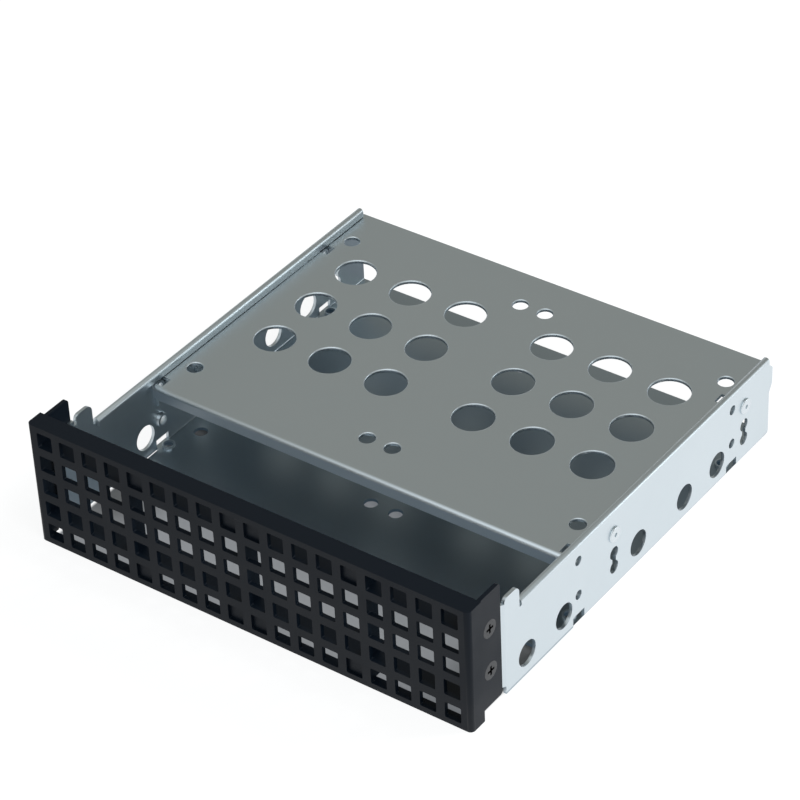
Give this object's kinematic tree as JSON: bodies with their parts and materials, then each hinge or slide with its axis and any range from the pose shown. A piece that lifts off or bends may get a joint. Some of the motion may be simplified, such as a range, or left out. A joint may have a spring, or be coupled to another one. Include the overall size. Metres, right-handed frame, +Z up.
{
  "type": "hard drive cage",
  "caption": "Half-height bay cage of bent zinc-plated sheet with a raised drive shelf, round vents, fixing holes and a black plastic square-grille front.",
  "frame": {"origin": "middle of the bottom face of the whole cage", "axes": "+X to the right seen from the front, +Y from the grille to the rear, +Z up"},
  "size_m": [0.148, 0.1536, 0.041],
  "materials": {
    "black_plastic": "fine matt",
    "zinc_sheet": "zinc plated, satin",
    "black_screw": "black zinc",
    "rivet_steel": "bright zinc"
  },
  "bodies": {
    "root": {"bezel": "black_plastic", "tray": "zinc_sheet", "drive_plate": "zinc_sheet", "bezel_screw_left_lower": "black_screw", "bezel_screw_left_upper": "black_screw", "bezel_screw_right_lower": "black_screw", "bezel_screw_right_upper": "black_screw", "rivet_left_front": "rivet_steel", "rivet_left_rear": "rivet_steel", "rivet_right_front": "rivet_steel", "rivet_right_rear": "rivet_steel"}
  },
  "joints": []
}
